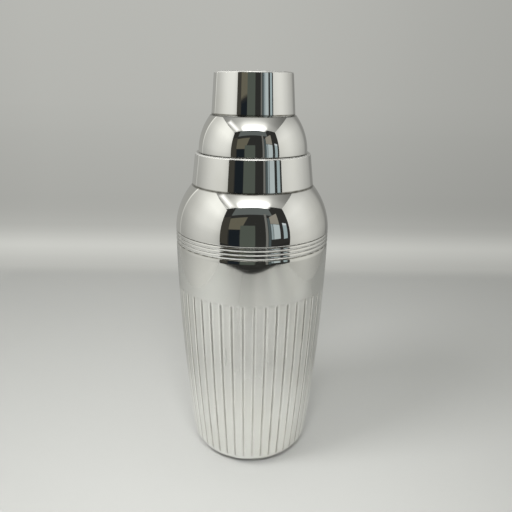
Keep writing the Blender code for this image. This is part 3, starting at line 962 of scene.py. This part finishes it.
def make_ceiling():
    """The ceiling, a light strip at its front, another at its left, and the dark seam beside that one."""
    outline = [
        (TENT_LEFT, LEFT_FRONT + 0.02), (0.0, LEFT_FRONT), (TENT_RIGHT, RIGHT_FRONT),
        (TENT_RIGHT, TENT_BACK), (TENT_LEFT, TENT_BACK),
    ]
    fades = (("Y", shades(CEILING_DEEP)), ("X", CEILING_ACROSS))
    level("ceiling", outline, TENT_TOP, glow("ceiling", WALL_TINT, 1.0, fades))
    low = TENT_TOP - CEILING_INSET
    fades = (("X", FRONT_LIGHT_ACROSS), ("Y", FRONT_LIGHT_DEEP))
    material = added_glow("front_light_glow", LAMP_TINT, FRONT_LIGHT, fades)
    level("front_light", rectangle(*FRONT_LIGHT_SPAN), low, material)
    material = glow("left_light", LAMP_TINT, LEFT_LIGHT, falloff=1.3)
    level("left_light", LEFT_LIGHT_CORNERS, low, material, LEFT_LIGHT_EDGE)
    material = glow("left_seam", WALL_TINT, light_of(LEFT_SEAM_SHADE))
    level("left_seam", LEFT_SEAM_CORNERS, low, material, LEFT_SEAM_EDGE)


def make_floor_shade():
    """Dims the floor's reflection away from the foot; the picture itself doesn't show this panel."""
    material, tree, surface = surface_material("floor_shade_look")
    place = add(tree, "ShaderNodeTexCoord").outputs["Object"]
    axes = add(tree, "ShaderNodeSeparateXYZ", {0: place})
    distance = add(tree, "ShaderNodeVectorMath", {0: place}, operation="LENGTH").outputs["Value"]
    across = fade(tree, axes.outputs["X"], FLOOR_SHADE)
    deep = fade(tree, axes.outputs["Y"], FLOOR_SHADE_DEEP)
    shade = combine(tree, "MULTIPLY", across, deep)
    kept = blend_colour(tree, fade(tree, distance, FLOOR_SHADE_REACH), (1.0, 1.0, 1.0, 1.0), shade)
    clear = add(tree, "ShaderNodeBsdfTransparent", {"Color": kept})
    tree.links.new(clear.outputs[0], surface)
    outline = rectangle(TENT_LEFT, TENT_RIGHT, LEFT_FRONT * 1.4, TENT_BACK)
    level("floor_shade", outline, APRON_Z / 2, material)


def make_floor_lights():
    """Adds light from the window and the right wall to the floor's reflection, in front of the shaker."""
    for i, (name, light, across, deep) in enumerate(FLOOR_LIGHTS):
        outline = rectangle(across[0][0], across[-1][0], deep[0][0], deep[-1][0])
        material = added_glow(name + "_glow", LAMP_TINT, light, (("X", across), ("Y", deep)))
        level(name, outline, APRON_Z * (0.7 + 0.1 * i), material)


def make_room():
    """What the open front looks out on: a dim room with a lit window, and the dark ground before it."""
    wide = ROOM_HALF_WIDTH
    back = ROOM_Y - ROOM_SHAPE_GAP * 1.5
    upright("room", (-wide, back), (wide, back), -0.8, 1.4, light_of(ROOM_SHADE), tint=ROOM_TINT)
    for i, (name, outline, tint, shade) in enumerate(ROOM_SHAPES):
        y = ROOM_Y - ROOM_SHAPE_GAP + ROOM_SHAPE_STEP * i
        corners = [(x, y, z) for x, z in outline]
        panel(name, corners, glow(name, tint, light_of(shade)), ROOM_SHAPE_EDGE)
    edge = []
    for i in range(25):
        x = (TENT_LEFT + (TENT_RIGHT - TENT_LEFT) * i / 24) * 1.1
        edge.append((x, FLOOR_FRONT + FLOOR_FRONT_CURVE * abs(x) ** 3))
    outline = edge + [(wide, edge[-1][1]), (wide, back), (-wide, back), (-wide, edge[0][1])]
    level("dark_apron", outline, APRON_Z, glow("dark_apron", ROOM_TINT, light_of(APRON_SHADE)))


def make_floor():
    """A pale floor with hardly any gloss."""
    half = FLOOR_HALF_WIDTH
    material, tree, shader = new_material("floor_look")
    shader.inputs["Roughness"].default_value = 0.6
    shader.inputs["Specular IOR Level"].default_value = 0.1
    shader.inputs["Base Color"].default_value = FLOOR_COLOUR
    verts = [(-half, -half, 0), (half, -half, 0), (half, half, 0), (-half, half, 0)]
    obj = mesh_object("floor", verts, [(0, 1, 2, 3)], material)


def rounded_outline(half_x, half_y, corner, count):
    """Points round a rectangle with round corners, counter-clockwise."""
    points = []
    for k, (side_x, side_y) in enumerate(((1, 1), (-1, 1), (-1, -1), (1, -1))):
        centre = (side_x * (half_x - corner), side_y * (half_y - corner))
        points += arc(centre, corner, 90 * k, 90 * k + 90, count)
    return points


def cove_rows():
    """Rings of points up the backdrop: a round cove at its foot, and its top."""
    turns = [math.pi / 2 * i / 32 for i in range(33)]
    profile = [(BACKDROP_FOOT * (1 - math.sin(a)), BACKDROP_FOOT * (1 - math.cos(a))) for a in turns]
    profile.append((0.0, BACKDROP_TOP))
    rows = []
    for inset, z in profile:
        half_x = BACKDROP_HALF_WIDTH - inset
        half_y = BACKDROP_HALF_DEPTH - inset
        outline = rounded_outline(half_x, half_y, BACKDROP_CORNER, 8)
        rows.append([(x, y, z + APRON_Z) for x, y in outline])
    return rows


def make_backdrop():
    """A pale cove round the floor that glows with painted light, brightest in its curved foot; it is seen
    directly and lights nothing.
    """
    rows = cove_rows()
    around = len(rows[0])
    rings = [range(k * around, (k + 1) * around) for k in range(len(rows))]
    faces = ring_faces(rings, around, closed=False)
    verts = [point for row in rows for point in row]
    soft = [min(1.0, max(0.0, z - APRON_Z) / BACKDROP_SOFT_FOOT) for x, y, z in verts]
    up = [(z, light * SILVER_SHARE) for z, light in shades(BACKDROP_SHADES)]
    material = glow("backdrop_look", BACKDROP_TINT, 1.0, (("Z", up), ("X", BACKDROP_ACROSS)))
    obj = mesh_object("backdrop", verts, faces, material, soft=soft)
    obj.data.shade_smooth()
    obj.visible_glossy = False
    obj.visible_diffuse = False
    obj.visible_shadow = False


def make_lamp(name, place, target, width, depth, power, spread):
    """A soft lamp that lights the floor and doesn't show in the silver."""
    data = bpy.data.lights.new(name, "AREA")
    data.shape = "RECTANGLE"
    data.size = width
    data.size_y = depth
    data.energy = power
    data.spread = math.radians(spread)
    lamp = bpy.data.objects.new(name, data)
    aim = Vector(target) - Vector(place)
    lamp.matrix_world = Matrix.Translation(place) @ aim.to_track_quat("-Z", "Y").to_matrix().to_4x4()
    lamp.visible_glossy = False
    bpy.context.scene.collection.objects.link(lamp)


def make_lamps():
    """One lamp at the front left, for the soft shadow, and one in front, for the floor round the foot."""
    for lamp in LAMPS:
        make_lamp(*lamp)


def make_world():
    """An even, pale sky."""
    world = bpy.data.worlds.new("surroundings")
    bpy.context.scene.world = world
    world.use_nodes = True
    background = world.node_tree.nodes["Background"]
    background.inputs["Color"].default_value = SKY_COLOUR
    background.inputs["Strength"].default_value = 1.0


def make_camera():
    """The camera, aimed a little down, with the small turn and roll of a hand-held view."""
    data = bpy.data.cameras.new("camera")
    data.lens = CAMERA_LENS
    camera = bpy.data.objects.new("camera", data)
    turn = Matrix.Rotation(-CAMERA_TURN, 4, "Z")
    tilt = Matrix.Rotation(math.pi / 2 - CAMERA_TILT, 4, "X")
    roll = Matrix.Rotation(CAMERA_ROLL, 4, "Z")
    camera.matrix_world = Matrix.Translation(CAMERA_PLACE) @ turn @ tilt @ roll
    bpy.context.scene.collection.objects.link(camera)
    bpy.context.scene.camera = camera


make_camera()
make_shaker()
make_tent()
make_floor()
make_backdrop()
make_lamps()
make_world()
bpy.context.scene.view_settings.view_transform = "Standard"
